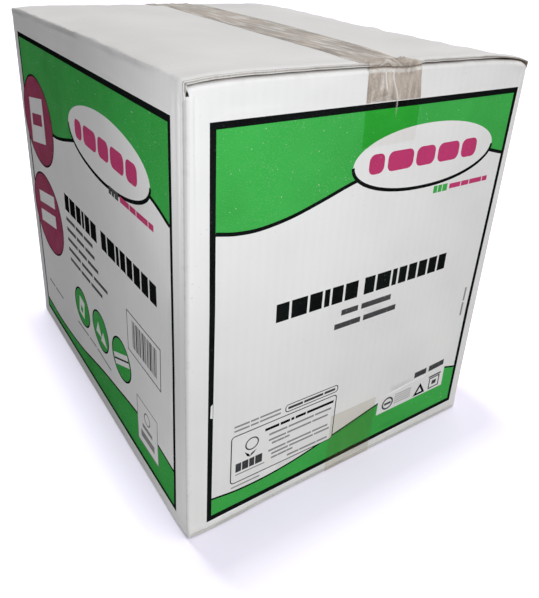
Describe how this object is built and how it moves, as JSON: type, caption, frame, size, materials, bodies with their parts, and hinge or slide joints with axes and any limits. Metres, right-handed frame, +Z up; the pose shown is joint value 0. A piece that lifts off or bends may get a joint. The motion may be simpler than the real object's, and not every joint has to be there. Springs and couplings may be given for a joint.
{
  "type": "case of folded toilet paper",
  "caption": "Sealed corrugated carton packed full of folded toilet paper, its outer flaps meeting at a centre seam that is taped above and below.",
  "frame": {"origin": "on the floor, under the middle of the carton", "axes": "+Z up; +X to the right along the front; +Y from the front to the back, along the taped seam"},
  "size_m": [0.3, 0.3804, 0.3504],
  "materials": {
    "carton_board": "white-faced corrugated board, matt, with flat printed fields",
    "packing_tape": "thin clear film with a pale tan adhesive"
  },
  "bodies": {
    "root": {"carton": "carton_board", "top_tape": "packing_tape", "bottom_tape": "packing_tape"}
  },
  "joints": []
}
